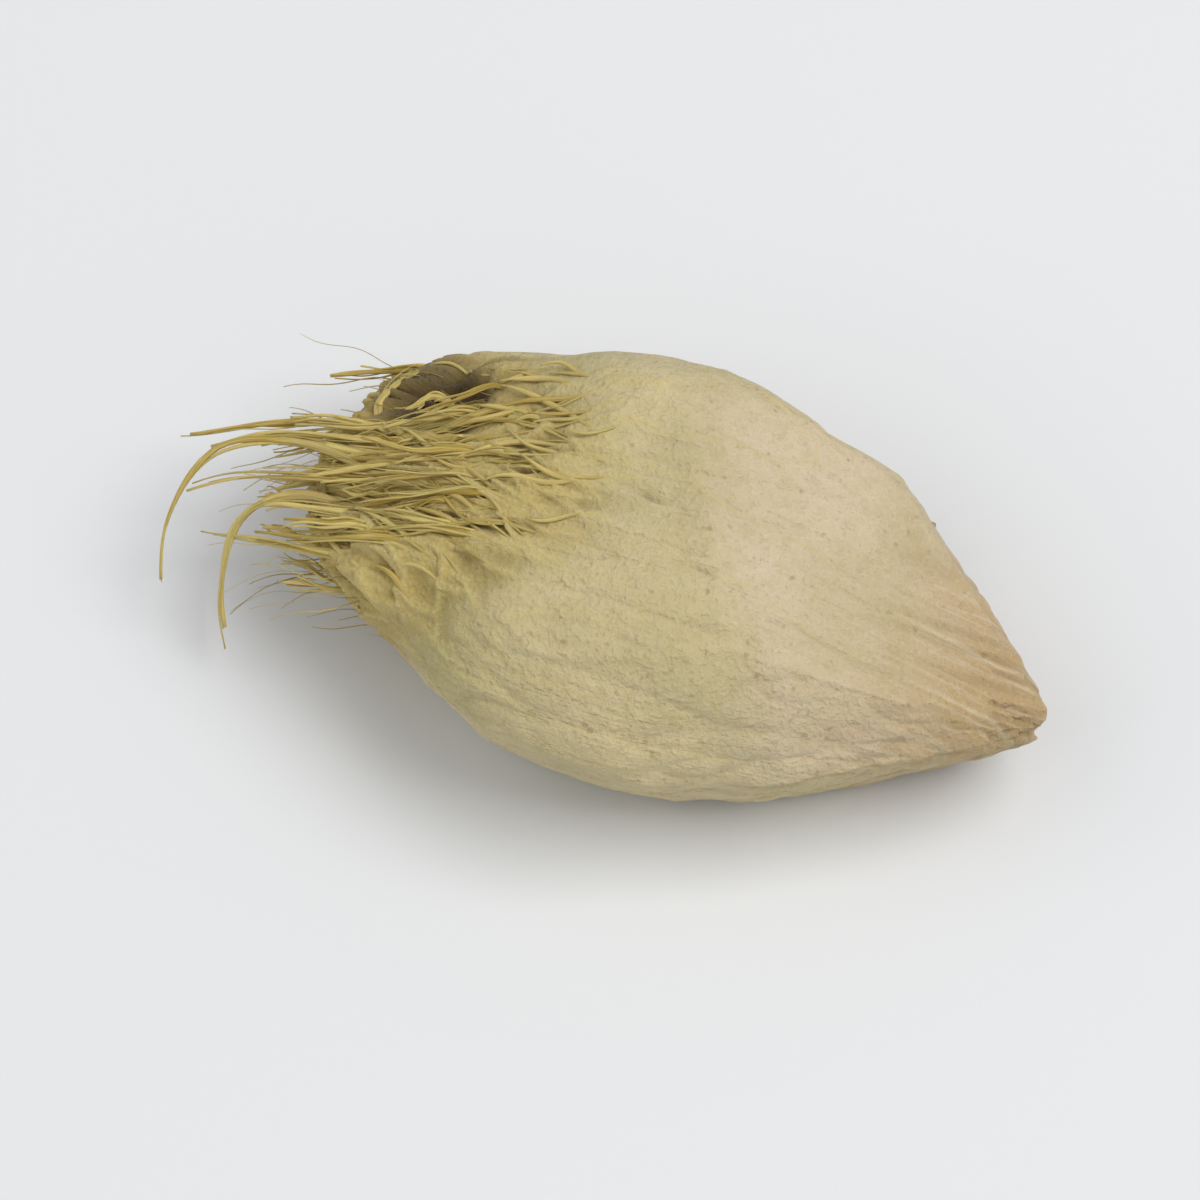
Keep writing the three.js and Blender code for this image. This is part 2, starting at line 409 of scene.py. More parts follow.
def add_node(
    tree: bpy.types.NodeTree, kind: str, inputs: dict | None = None, **settings: object
) -> bpy.types.Node:
    """Adds a node, sets its own properties, and sets or links its inputs.

    Args:
        tree: The node tree.
        kind: The node's type name, without the ShaderNode that it starts with.
        inputs: Input name or number to a value, or to the output that it is linked from.
        settings: The node's properties.

    Returns:
        The new node.
    """
    node = tree.nodes.new("ShaderNode" + kind)
    for key, value in settings.items():
        setattr(node, key, value)
    set_inputs(tree, node, inputs or {})
    return node


class MixSocket(IntEnum):
    """The numbers of a colour Mix node's sockets, whose names repeat for each kind of data."""

    FACTOR = 0
    RESULT = 2
    FIRST = 6
    SECOND = 7


@dataclass(frozen=True)
class Layer:
    """A colour that covers those below it as far as a mask or a pattern lets it show, or their product.
    Where the pattern is at low, the colour is absent, and where it is at high, it covers the most."""

    colour: str | bpy.types.NodeSocket
    mask: str = ""
    pattern: str = ""
    low: float = 0.0
    high: float = 1.0
    most: float = 1.0


def lay_colours(
    tree: bpy.types.NodeTree,
    below: str | bpy.types.NodeSocket,
    layers: list[Layer],
    values: dict[str, bpy.types.NodeSocket],
) -> bpy.types.NodeSocket:
    """Lays colours over each other in order.

    Args:
        tree: The node tree.
        below: The lowest colour, as an sRGB hex value or an output.
        layers: The colours over it.
        values: The masks and patterns that the layers name.

    Returns:
        The output with the colour that shows.
    """
    for layer in layers:
        factors = [values[layer.mask]] if layer.mask else []
        if layer.pattern:
            limits = {"From Min": layer.low, "From Max": layer.high, "To Max": layer.most}
            factors.append(add_node(tree, "MapRange", {"Value": values[layer.pattern]} | limits).outputs[0])
        if len(factors) == 2:
            factors = [add_node(tree, "Math", dict(enumerate(factors)), operation="MULTIPLY").outputs[0]]
        ends = [linear(end) if isinstance(end, str) else end for end in (below, layer.colour)]
        sockets = (MixSocket.FACTOR, MixSocket.FIRST, MixSocket.SECOND)
        mix = add_node(tree, "Mix", dict(zip(sockets, factors + ends)), data_type="RGBA")
        below = mix.outputs[MixSocket.RESULT]
    return below


class FaceName(Enum):
    """The faces of the chunk."""

    FRAYED_END = auto()
    FAR_LEFT_RIND = auto()
    FAR_RIND = auto()
    FAR_RIGHT_CUT = auto()
    NEAR_RIGHT_CUT = auto()
    NEAR_CUT = auto()
    NEAR_LEFT_CUT = auto()
    CROWN = auto()
    FALL_TO_TIP = auto()
    FALL_TO_FRAY = auto()
    UNDER_NEAR = auto()
    UNDER_NEAR_RIGHT = auto()
    UNDER_NEAR_LEFT = auto()
    UNDER_FAR = auto()
    UNDER_TIP = auto()
    UNDER_FRAY = auto()
    UNDER = auto()


@dataclass(frozen=True)
class Face:
    """One face: the turn and lean of its outward direction in degrees, its reach and its shrunken hollow."""

    name: FaceName
    turn: float
    lean: float
    reach: float
    hollow: float = 0.0


@dataclass
class FleshForm:
    """The form of the chunk, as its solid has it: a star of distances from its heart."""

    heart_share: float = 0.45
    sharpness: float = 9.0
    tip_sharpness: float = 9.0
    tip_turn: tuple[float, float] = (0.5, 0.98)
    hollow_from: float = 0.45
    fray_from: float = -1.0
    fray_to: float = -4.3
    fray_left_of_axis: float = 0.7
    fray_ridges: float = 15.0
    fray_uneven: float = 1.1
    fray_height: float = 0.12
    pit_at: tuple[float, float] = (-3.45, 1.45)
    pit_radius: float = 0.55
    pit_depth: float = 0.65
    rind_wrinkle: float = 0.95
    rind_height: float = 0.07
    rind_meander: float = 0.22
    rind_bends: float = 1.7
    rind_under: float = 0.5
    rind_fade: tuple[float, float] = (0.25, 0.9)
    rind_top: tuple[float, float] = (2.0, 2.9)
    scar_at: float = 0.6
    scar_width: float = 0.35
    scar_height: float = 0.05
    scar_meander: float = 0.15
    scar_bends: float = 2.0
    shrink: Grain = Grain(1.3, 1.3, 0.08, 3)
    flank_across: tuple[float, float] = (0.8, 2.2)
    halvings: int = 24

    def __post_init__(self) -> None:
        """Works out the heart and the faces from the driving lengths."""
        half_length, half_width = FLESH_LENGTH / 2, FLESH_WIDTH / 2
        self.heart = np.array([0, 0, self.heart_share * FLESH_HEIGHT])
        above = FLESH_HEIGHT - self.heart[2]
        below = self.heart[2] + FLAT_DEPTH
        self.half = np.array([half_length, half_width, above])
        self.faces = [
            Face(FaceName.FRAYED_END, 178, 8, 1.1 * half_length),
            Face(FaceName.FAR_LEFT_RIND, 104, 18, 1.13 * half_width),
            Face(FaceName.FAR_RIND, 75, 14, 1.1 * half_width),
            Face(FaceName.FAR_RIGHT_CUT, 47, 16, 1.26 * half_width, 0.08),
            Face(FaceName.NEAR_RIGHT_CUT, -62, 32, 0.96 * half_width, 0.05),
            Face(FaceName.NEAR_CUT, -84, 44, 0.94 * half_width, 0.05),
            Face(FaceName.NEAR_LEFT_CUT, -124, 40, 1.06 * half_width, 0.06),
            Face(FaceName.CROWN, -122, 80, 0.98 * above, 0.1),
            Face(FaceName.FALL_TO_TIP, 17, 66, 1.06 * above, 0.08),
            Face(FaceName.FALL_TO_FRAY, 165, 60, 1.24 * above, 0.06),
            Face(FaceName.UNDER_NEAR, -92, -24, 1.32 * below),
            Face(FaceName.UNDER_NEAR_RIGHT, -60, -22, 1.42 * below),
            Face(FaceName.UNDER_NEAR_LEFT, -126, -20, 1.56 * below),
            Face(FaceName.UNDER_FAR, 95, -42, 1.26 * below),
            Face(FaceName.UNDER_TIP, 4, -38, 2.25 * below),
            Face(FaceName.UNDER_FRAY, 172, -40, 2 * below),
            Face(FaceName.UNDER, 0, -90, below),
        ]
        self.normals = np.array([facing(face.turn, face.lean) for face in self.faces])
        self.reaches = np.array([face.reach for face in self.faces])
        self.hollows = np.array([face.hollow for face in self.faces])

    def edge(self, directions: np.ndarray) -> np.ndarray:
        """Gives the power that rounds the edges in each direction: higher, so sharper, towards the tip."""
        return self.sharpness + self.tip_sharpness * smoothstep(directions[:, 0], *self.tip_turn)

    def pulls(self, directions: np.ndarray) -> np.ndarray:
        """Gives each face's pull in each direction: the cosine to it over its reach, to the edge's power."""
        return np.maximum(0, directions @ self.normals.T / self.reaches) ** self.edge(directions)[:, None]

    def shares(self, pulls: np.ndarray, *names: FaceName) -> np.ndarray:
        """Gives the part of the whole pull that the named faces have, from 0 to 1."""
        chosen = [i for i, face in enumerate(self.faces) if face.name in names]
        return pulls[:, chosen].sum(axis=1) / pulls.sum(axis=1)

    def frayed(self, places: np.ndarray) -> np.ndarray:
        """Gives how torn the flesh is: 0 where it is smooth, 1 at the frayed end."""
        start = self.fray_from + self.fray_left_of_axis * np.minimum(places[:, 1], 0)
        return smoothstep(start - places[:, 0], 0, start - self.fray_to)

    def pit_distance(self, places: np.ndarray) -> np.ndarray:
        """Gives the distance from the pit's middle, seen from above, in radii of the pit."""
        return np.linalg.norm(places[:, :2] - self.pit_at, axis=1) / self.pit_radius

    def fibre_way(self, base: np.ndarray) -> np.ndarray:
        """Gives coordinates along and across the fibres. Across is Y on the upper side, so that a pattern
        stretched along X runs straight down its slopes, and turns to the height on the flanks.

        Args:
            base: Places on the form in millimetres.

        Returns:
            The places along, across and 0, one row each.
        """
        y = base[:, 1]
        flank = np.sign(y) * smoothstep(np.abs(y), *self.flank_across)
        return np.stack([base[:, 0], y + flank * (self.heart[2] - base[:, 2]), 0 * y], axis=-1)

    def rind(self, base: np.ndarray, pulls: np.ndarray) -> np.ndarray:
        """Gives how much rind covers each place, from the pull of the far faces and from its height.

        Args:
            base: Places on the form in millimetres.
            pulls: The faces' pulls there.

        Returns:
            One value from 0 to 1 for each place.
        """
        far = self.shares(pulls, FaceName.FAR_LEFT_RIND, FaceName.FAR_RIND)
        far += self.rind_under * self.shares(pulls, FaceName.UNDER_FAR)
        return smoothstep(far, *self.rind_fade) * (1 - smoothstep(base[:, 2], *self.rind_top))

    def distance(self, directions: np.ndarray) -> tuple[np.ndarray, np.ndarray, np.ndarray]:
        """Works out the surface's distance from the heart: one over the p-norm of the pulls, less the
        hollows and the pit, plus the ridges of the frayed end, the wrinkles and the scar ring of the rind,
        and the broad unevenness that drying leaves.

        Args:
            directions: Unit vectors from the heart.

        Returns:
            The distances, the places before the small forms are added, and the pulls.
        """
        pulls = self.pulls(directions)
        total = pulls.sum(axis=1)
        distance = total ** (-1 / self.edge(directions))
        base = directions * distance[:, None] + self.heart
        distance -= (self.hollows * smoothstep(pulls / total[:, None], self.hollow_from, 1)).sum(axis=1)

        around = np.arctan2(directions[:, 2] * FLESH_WIDTH, directions[:, 1] * FLESH_HEIGHT)
        wave = np.sin(self.fray_ridges / 2 * around + self.fray_uneven * np.sin(2 * around))
        distance += self.fray_height * self.frayed(base) * (2 * np.abs(wave) - 1)

        pit = self.pit_depth * np.exp(-(self.pit_distance(base) ** 2))
        distance -= np.where(directions[:, 2] > 0, pit, 0)

        rind = self.rind(base, pulls)
        line = (base[:, 2] + self.rind_meander * np.sin(self.rind_bends * base[:, 0])) / self.rind_wrinkle
        distance += rind * self.rind_height * np.sin(2 * np.pi * line)
        from_scar = base[:, 0] - self.scar_at + self.scar_meander * np.sin(self.scar_bends * base[:, 2])
        distance += rind * self.scar_height * np.exp(-((from_scar / self.scar_width) ** 2))
        distance += self.shrink.raised(base)
        return distance, base, pulls

    def place(self, directions: np.ndarray, distance: np.ndarray) -> np.ndarray:
        """Gives the points at the distances from the heart, pressed flat where they would go underground.

        Args:
            directions: Unit vectors from the heart.
            distance: One distance for each.

        Returns:
            Points in millimetres, one row each.
        """
        points = directions * distance[:, None] + self.heart
        points[:, 2] = np.maximum(points[:, 2], 0)
        return points

    def surface(self, directions: np.ndarray) -> np.ndarray:
        """Gives the points of the form's surface in the directions from its heart."""
        return self.place(directions, self.distance(directions)[0])

    def top(self, places: np.ndarray) -> np.ndarray:
        """Finds the points of the upper side over places, by halving the angle above the heart.

        Args:
            places: X and Y, one row each.

        Returns:
            Points on the upper side, one row each.
        """
        level = np.linalg.norm(places, axis=1)
        compass = np.degrees(np.arctan2(places[:, 1], places[:, 0]))
        low, high = np.zeros(len(places)), np.full(len(places), 90.0)
        for _ in range(self.halvings):
            middle = (low + high) / 2
            points = self.surface(facing(compass, middle))
            outside = np.linalg.norm(points[:, :2], axis=1) > level
            low, high = np.where(outside, middle, low), np.where(outside, high, middle)
        return points


@dataclass(frozen=True)
class DriedFlesh:
    """Starchy dried root flesh, cut with a knife and tumbled: matte and powdery, cream where it is smooth,
    olive-yellow where its fibres are torn bare, brown and corky where the rind is left on. Shade is painted
    in a dark colour into its grooves, creases, cracks and pit. Its grit is drawn coarser than real starch, so
    that it shows."""

    cream: str = "#d2c194"
    green: str = "#c1b487"
    blush: str = "#d8c4a6"
    tan: str = "#ba9e73"
    moss: str = "#a29a58"
    olive: str = "#aa9148"
    fibre: str = "#cfbc7a"
    # Painted shade: the dark colour laid into the grooves, creases, dented tail streaks, cork cracks and pit
    painted_shade: str = "#46330f"
    rind: str = "#a0845a"
    rind_dark: str = "#73572f"
    dust: str = "#e2d6b8"
    speck: str = "#8d7036"
    masks: tuple[str, ...] = ("tinge", "fray", "rind", "blush", "tail", "painted_shade", "line")
    mottle: float = 1.9
    streak_length: float = 1.6
    streak_width: float = 0.07
    grit: float = 0.06
    crumb: float = 0.2
    specks: float = 0.12
    # The pattern, strength and distance in millimetres of each bump
    bumps: tuple[tuple[str, float, float], ...] = (
        ("streak", 0.5, 0.05),
        ("crumb", 0.8, 0.09),
        ("grit", 0.8, 0.035),
    )
    roughness: tuple[float, float] = (0.8, 1.0)
    light_depth: float = 0.15

    def values(self, tree: bpy.types.NodeTree) -> dict[str, bpy.types.NodeSocket]:
        """Adds the masks and patterns: attributes of the flesh, and noise on Object coordinates, or along and
        across the fibres for the streaks.

        Args:
            tree: The node tree.

        Returns:
            The outputs by name.
        """
        place = add_node(tree, "TexCoord").outputs["Object"]
        way = add_node(tree, "Attribute", attribute_name="fibre_way").outputs["Vector"]
        scale = (1 / self.streak_length, 1 / self.streak_width, 1 / self.streak_width)
        stretched = add_node(tree, "Mapping", {"Vector": way, "Scale": scale})
        values = {
            mask: add_node(tree, "Attribute", attribute_name=mask).outputs["Fac"] for mask in self.masks
        }
        sockets = ("Vector", "Scale", "Detail", "Roughness", "Distortion")
        patterns = {
            "mottle": (place, per_mm(self.mottle), 4.0, 0.55, 0.0),
            "streak": (stretched.outputs[0], 1.0, 3.0, 0.5, 0.35),
            "grit": (place, per_mm(self.grit), 2.0, 0.5, 0.0),
            "crumb": (place, per_mm(self.crumb), 5.0, 0.62, 0.0),
            "specks": (place, per_mm(self.specks), 1.0, 0.5, 0.0),
        }
        for name, settings in patterns.items():
            values[name] = add_node(tree, "TexNoise", dict(zip(sockets, settings))).outputs["Fac"]
        return values

    def material(self) -> bpy.types.Material:
        """Makes the material: colours laid over each other, and streaks, crumbs and grit as bumps."""
        material, shader = new_material("starchy_dried_ginger_flesh")
        tree = material.node_tree
        values = self.values(tree)
        bark = lay_colours(tree, self.rind_dark, [Layer(self.rind, "", "mottle", 0.35, 0.65)], values)
        layers = [
            Layer(self.cream, "", "mottle", 0.4, 0.62),
            Layer(self.blush, "blush", "mottle", 0.15, 0.6),
            Layer(self.tan, "tail", "streak", 0.25, 0.5),
            Layer(self.moss, "tinge"),
            Layer(self.olive, "fray"),
            Layer(bark, "rind"),
            Layer(self.olive, "", "streak", 0.55, 0.75, 0.22),
            Layer(self.olive, "", "crumb", 0.52, 0.36, 0.16),
            Layer(self.speck, "", "specks", 0.66, 0.78, 0.5),
            Layer(self.fibre, "line"),
            Layer(self.dust, "", "grit", 0.5, 0.75, 0.25),
            # Painted shade in the hollows of the relief, laid over all the other colours
            Layer(self.painted_shade, "painted_shade"),
        ]
        low, high = self.roughness
        rough = add_node(tree, "MapRange", {"Value": values["grit"], "To Min": low, "To Max": high})
        under = {}
        for pattern, strength, distance in self.bumps:
            height = {"Height": values[pattern], "Strength": strength, "Distance": distance * MM}
            under = {"Normal": add_node(tree, "Bump", height | under).outputs[0]}
        finish = {
            "Base Color": lay_colours(tree, self.green, layers, values),
            "Roughness": rough.outputs[0],
            "IOR": 1.48,
            "Specular IOR Level": 0.3,
            "Sheen Weight": 0.12,
            "Sheen Roughness": 0.6,
            "Subsurface Weight": 0.1,
            "Subsurface Radius": (1.0, 0.62, 0.3),
            "Subsurface Scale": self.light_depth * MM,
        }
        set_inputs(tree, shader, finish | under)
        return material


@dataclass(frozen=True)
class StrawFibre:
    """Vascular fibre of the root, dried to straw: dull, streaked along its length, each a little lighter or
    darker than the next, and paler at its broken tip. Its root keeps the colour of the flesh, up to the
    share of its length at which it is bared."""

    name: str
    bared: float = 0.35
    covered: float = 0.3
    root: str = "#c2ad6d"
    dark: str = "#7d6024"
    middle: str = "#bda350"
    pale: str = "#e0ca7e"
    streak_length: float = 0.5
    streak_width: float = 0.45
    bump: float = 0.03
    light_depth: float = 0.1

    def material(self) -> bpy.types.Material:
        """Makes the material from the attributes along, tint and rod_way."""
        material, shader = new_material(self.name)
        tree = material.node_tree
        values = {
            key: add_node(tree, "Attribute", attribute_name=key).outputs["Fac"] for key in ("along", "tint")
        }
        way = add_node(tree, "Attribute", attribute_name="rod_way").outputs["Vector"]
        scale = (1 / self.streak_length, 1 / self.streak_width, 1 / self.streak_width)
        stretched = add_node(tree, "Mapping", {"Vector": way, "Scale": scale})
        noise = {"Vector": stretched.outputs[0], "Scale": 1.0, "Detail": 3.0, "Roughness": 0.6}
        streak = add_node(tree, "TexNoise", noise).outputs["Fac"]
        shade = streak
        for key, weight in (("tint", 0.6), ("along", 0.25)):
            terms = {0: values[key], 1: weight, 2: shade}
            shade = add_node(tree, "Math", terms, operation="MULTIPLY_ADD").outputs[0]
        ramp = add_node(tree, "ValToRGB", {"Fac": shade})
        stops = ((0.4, self.dark), (0.72, self.middle), (1.0, self.pale))
        ramp.color_ramp.elements.new(stops[1][0])
        for element, (position, colour) in zip(ramp.color_ramp.elements, stops):
            element.position = position
            element.color = linear(colour)
        root = [Layer(self.root, "", "along", self.bared, self.covered)]
        height = {"Height": streak, "Strength": 0.8, "Distance": self.bump * MM}
        finish = {
            "Base Color": lay_colours(tree, ramp.outputs["Color"], root, values),
            "Normal": add_node(tree, "Bump", height).outputs[0],
            "Roughness": 0.72,
            "IOR": 1.5,
            "Specular IOR Level": 0.35,
            "Subsurface Weight": 0.1,
            "Subsurface Scale": self.light_depth * MM,
        }
        set_inputs(tree, shader, finish)
        return material


@dataclass(frozen=True)
class Crease:
    """A short dent of the upper side: its place, its half length and half width, and its depth."""

    x: float
    y: float
    length: float
    width: float
    depth: float


@dataclass
class Flesh:
    """The body of the piece: the chunk with its fine relief. A value that ends in pale is the share of the
    fibre's colour that the relief of that name takes. The share given for a crease, groove, tail streak or
    crack is the share of painted shade, a dark colour laid into its hollows."""

    form: FleshForm
    strands: LyingStrands
    around: int = 330
    along: int = 298
    crowd_around: float = 0.35
    crowd_along: float = 0.22

    # Smooth flesh: lumps, furrows, low crests between faces, veins, creases and the tinge of the upper side
    lumps: Grain = Grain(0.4, 0.4, 0.022, 11, 3)
    furrow: Grain = Grain(2.6, 0.42, 0.045, 21)
    furrow_power: int = 4
    flank: tuple[float, float] = (-1.0, 0.4)
    crest_height: float = 0.05
    crest_power: int = 3
    vein_apart: float = 0.55
    vein_width: float = 0.22
    vein_height: float = 0.02
    vein_seed: int = 7
    crease_bend: Grain = Grain(0.7, 0.7, 0.12, 61)
    creases: tuple[Crease, ...] = (
        Crease(-0.25, 0.4, 0.3, 0.05, 0.07),
        Crease(0.65, -0.35, 0.26, 0.045, 0.06),
        Crease(0.1, -1.5, 0.45, 0.05, 0.04),
        Crease(2.3, -0.6, 0.55, 0.05, 0.05),
    )
    crease_shown: tuple[float, float] = (0.02, 0.09)
    # Share of painted shade laid into the creases
    crease_shade: float = 0.45
    faint_fibre: FibreLines = FibreLines(0.12, 0.5, 0.05, 1.6, 91)
    faint_height: float = 0.012
    faint_pale: float = 0.25
    tinge: tuple[float, float] = (0.5, 2.6)
    tinge_share: float = 0.45
    blush_near: tuple[float, float] = (0.2, 2.4)
    blush: tuple[float, float] = (0.2, 0.95)

    # Torn end: its border, bare fibres that cross each other, grooves between them and the pit
    border: float = -0.7
    border_far_slope: float = 0.85
    border_far_from: float = 0.4
    fringe: Grain = Grain(2.5, 0.25, 0.9, 35)
    fringe_most: float = 0.3
    bared: tuple[float, float] = (0.0, 1.9)
    yellowed: tuple[float, float] = (-0.3, 1.4)
    yellow_share: float = 0.9
    fibres: tuple[FibreLines, ...] = (
        FibreLines(0.3, 0.2, 0.055, 1.4, 31),
        FibreLines(-0.1, 0.27, 0.05, 1.1, 38),
        FibreLines(0.75, 0.5, 0.06, 0.8, 45),
    )
    fibre_height: float = 0.055
    fibre_pale: float = 0.85
    groove: Grain = Grain(0.9, 0.2, 0.13, 33)
    groove_shown: tuple[float, float] = (-0.05, 0.4)
    # Share of painted shade laid into the grooves between bare fibres
    groove_shade: float = 0.95
    seam_height: float = 0.04
    seam_pale: float = 0.65
    # Where the painted shade of the pit starts and where it is full, in radii
    pit_shaded: tuple[float, float] = (1.8, 0.75)

    # Tail: streaks, lumps and chips broken out of the tip
    tail: tuple[float, float] = (2.0, 4.7)
    tail_streak: FibreLines = FibreLines(-0.32, 0.2, 0.08, 1.0, 41)
    tail_depth: float = 0.025
    # Share of painted shade laid into the dented tail streaks
    tail_streak_shade: float = 0.22
    tail_lumps: Grain = Grain(0.5, 0.5, 0.09, 45, 3)
    tip: tuple[float, float] = (3.901, 4.888)
    chips: Grain = Grain(0.42, 0.42, 0.22, 47, 3)
    chip_shown: tuple[float, float] = (0.0, 0.5)

    # Rind: its ragged edge, its thickness and the cracks of its cork
    rind_below: tuple[float, float] = (0.9, 1.55)
    rind_edge: Grain = Grain(1.0, 0.5, 0.55, 55, 3)
    rind_shown: tuple[float, float] = (0.2, 0.34)
    rind_thickness: float = 0.05
    cork: Grain = Grain(0.8, 0.22, 0.07, 51, 3)
    crack_steepness: float = 3.0
    # Share of painted shade laid into the cork's cracks
    crack_shade: float = 0.5

    def directions(self) -> np.ndarray:
        """Gives unit vectors on a grid of rings between two poles, at the frayed end and at the tip. The
        rings lie closer at the frayed end, and the points of a ring closer on its upper side.

        Returns:
            One row for each vertex, with the poles first and last.
        """
        step = np.linspace(0, 1, self.along + 1)[1:-1, None]
        lean = np.pi * (step - self.crowd_along * np.sin(np.pi * step) ** 2 * (1 - step))
        turn = np.arange(self.around)[None] * 2 * np.pi / self.around
        turn = turn + self.crowd_around * np.cos(turn)
        x = np.broadcast_to(-np.cos(lean), (self.along - 1, self.around))
        grid = np.stack([x, np.sin(lean) * np.cos(turn), np.sin(lean) * np.sin(turn)], axis=-1)
        rows = np.concatenate([[[-1.0, 0, 0]], grid.reshape(-1, 3), [[1.0, 0, 0]]]) * self.form.half
        return rows / np.linalg.norm(rows, axis=1, keepdims=True)

    def faces(self) -> tuple[np.ndarray, np.ndarray]:
        """Joins the rings with quads and closes both poles with triangles.

        Returns:
            The quads and the triangles, as rows of corner numbers.
        """
        number = 1 + np.arange((self.along - 1) * self.around).reshape(self.along - 1, self.around)
        following = np.roll(number, -1, axis=1)
        quads = np.stack([number[:-1], number[1:], following[1:], following[:-1]], axis=-1).reshape(-1, 4)
        last = number.max() + 1
        first_cap = np.stack([np.zeros_like(number[0]), number[0], following[0]], axis=-1)
        last_cap = np.stack([np.full_like(number[0], last), following[-1], number[-1]], axis=-1)
        return quads, np.concatenate([first_cap, last_cap])

    def past_border(self, base: np.ndarray, way: np.ndarray) -> np.ndarray:
        """Gives how far each place lies past the border of the torn end, which falls back on both sides of
        the axis and which noise frays.

        Args:
            base: Places on the form in millimetres.
            way: The same places along and across the fibres.

        Returns:
            One distance in millimetres for each place, below 0 on the smooth flesh.
        """
        y = base[:, 1]
        border = self.border + BORDER_NEAR_SLOPE * np.minimum(y - BORDER_NEAR_FROM, 0)
        border -= self.border_far_slope * np.maximum(y - self.border_far_from, 0)
        border += self.fringe.height * np.minimum(self.fringe.at(way), self.fringe_most)
        return border - base[:, 0]

    def cover_of_rind(self, base: np.ndarray, pulls: np.ndarray) -> np.ndarray:
        """Gives where rind is left on: the form's rind up to a height, with an edge that noise makes ragged.

        Args:
            base: Places on the form in millimetres.
            pulls: The faces' pulls there.

        Returns:
            One value from 0 to 1 for each place.
        """
        rind = self.form.rind(base, pulls) * (1 - smoothstep(base[:, 2], *self.rind_below))
        return smoothstep(rind + self.rind_edge.raised(base) * (rind > 0), *self.rind_shown)

    def pink(self, base: np.ndarray, pulls: np.ndarray) -> np.ndarray:
        """Gives how pink the flesh is: on the faces that fall to the tip, and on the near one towards it.

        Args:
            base: Places on the form in millimetres.
            pulls: The faces' pulls there.

        Returns:
            One value from 0 to 1 for each place.
        """
        share = self.form.shares(pulls, FaceName.FALL_TO_TIP, FaceName.FAR_RIGHT_CUT)
        near = self.form.shares(pulls, FaceName.NEAR_RIGHT_CUT)
        return smoothstep(share + near * smoothstep(base[:, 0], *self.blush_near), *self.blush)

    def dents(self, base: np.ndarray) -> np.ndarray:
        """Gives the depth of the creases of the upper side: long bell curves that noise bends.

        Args:
            base: Places on the form in millimetres.

        Returns:
            One depth in millimetres for each place.
        """
        bent = base[:, 1] + self.crease_bend.raised(base)
        depth = np.zeros(len(base))
        for crease in self.creases:
            away = ((base[:, 0] - crease.x) / crease.length) ** 2 + ((bent - crease.y) / crease.width) ** 2
            depth += crease.depth * np.exp(-away)
        return depth * (base[:, 2] > self.form.heart[2])

    def relief(
        self, base: np.ndarray, pulls: np.ndarray, points: np.ndarray
    ) -> tuple[np.ndarray, dict[str, np.ndarray]]:
        """Works out the fine relief as a distance to add, and the masks that colour the flesh.

        Lumps are noise. Furrows are noise stretched along X and folded. A low crest runs where two faces pull
        alike, and veins are a field of spots. The torn end has lines of bare fibre, grooves between them, and
        seams over the roots of the lying strands. The tail is streaked, lumpy and chipped, and the rind is
        cracked cork.

        Args:
            base: Places on the form before its small forms, in millimetres.
            pulls: The faces' pulls there.
            points: The form's points there.

        Returns:
            The relief in millimetres, and the masks from 0 to 1, with the places along and across the fibres
            that the streaks of the finish follow.
        """
        way = self.form.fibre_way(base)
        past = self.past_border(base, way)
        torn = smoothstep(past, *self.bared)
        rind = self.cover_of_rind(base, pulls)
        smooth = (1 - torn) * (1 - rind)
        flank = smoothstep(self.form.heart[2] - base[:, 2], *self.flank)
        second, first = np.sort(pulls, axis=1)[:, -2:].T
        veins = np.exp(-((spot_field(base, self.vein_apart, self.vein_seed) / self.vein_width) ** 2))
        dents = self.dents(base)
        tail = smoothstep(base[:, 0], *self.tail)
        faint = self.faint_fibre.at(way) * smooth * (1 - tail)
        bare = np.max([lines.at(way) for lines in self.fibres], axis=0)
        groove = torn * smoothstep(self.groove.at(way), *self.groove_shown) * (1 - bare)
        seam = self.strands.seams(points)
        streaks = tail * self.tail_streak.at(way)
        chips = smoothstep(base[:, 0], *self.tip) * smoothstep(self.chips.at(base), *self.chip_shown)
        cracks = rind * (1 - np.minimum(self.crack_steepness * np.abs(self.cork.at(base)), 1))

        height = self.lumps.raised(base) - dents
        folded = (1 - np.abs(self.furrow.at(base))) ** self.furrow_power
        height -= self.furrow.height * (1 + flank) * smooth * folded
        crest = (second / first) ** self.crest_power
        height += smooth * (self.crest_height * crest + self.vein_height * veins)
        height += self.fibre_height * torn * bare - self.groove.height * groove
        height += self.faint_height * faint + self.seam_height * seam
        height += tail**2 * self.tail_lumps.raised(base) - self.tail_depth * streaks
        height -= self.chips.height * chips
        height += self.rind_thickness * rind - self.cork.height * cracks

        is_above = base[:, 2] > self.form.heart[2]
        # Painted shade in the hollows: grooves between bare fibres, creases, dented tail streaks, cork cracks
        # and the pit
        shaded_hollows = [
            self.groove_shade * groove * (1 - seam),
            self.crease_shade * smoothstep(dents, *self.crease_shown),
            self.tail_streak_shade * streaks,
            self.crack_shade * cracks,
            np.where(is_above, smoothstep(self.form.pit_distance(base), *self.pit_shaded), 0),
        ]
        lines = [self.fibre_pale * torn * bare, self.faint_pale * faint, self.seam_pale * seam]
        masks = {
            "tinge": self.tinge_share * smoothstep(-base[:, 0], *self.tinge) * (1 - flank),
            "fray": self.yellow_share * smoothstep(past, *self.yellowed),
            "rind": rind * (1 - torn),
            "blush": self.pink(base, pulls),
            "tail": tail,
            "painted_shade": np.max(shaded_hollows, axis=0),
            "line": np.max(lines, axis=0),
            "fibre_way": way,
        }
        return height, masks

    def build(self) -> None:
        """Makes the piece that stands for the solid."""
        directions = self.directions()
        distance, base, pulls = self.form.distance(directions)
        height, masks = self.relief(base, pulls, self.form.place(directions, distance))
        points = self.form.place(directions, distance + height)
        quads, caps = self.faces()
        piece = add_piece("ginger_flesh", Shape(points, quads, caps, masks), DriedFlesh().material())
        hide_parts(NODE)


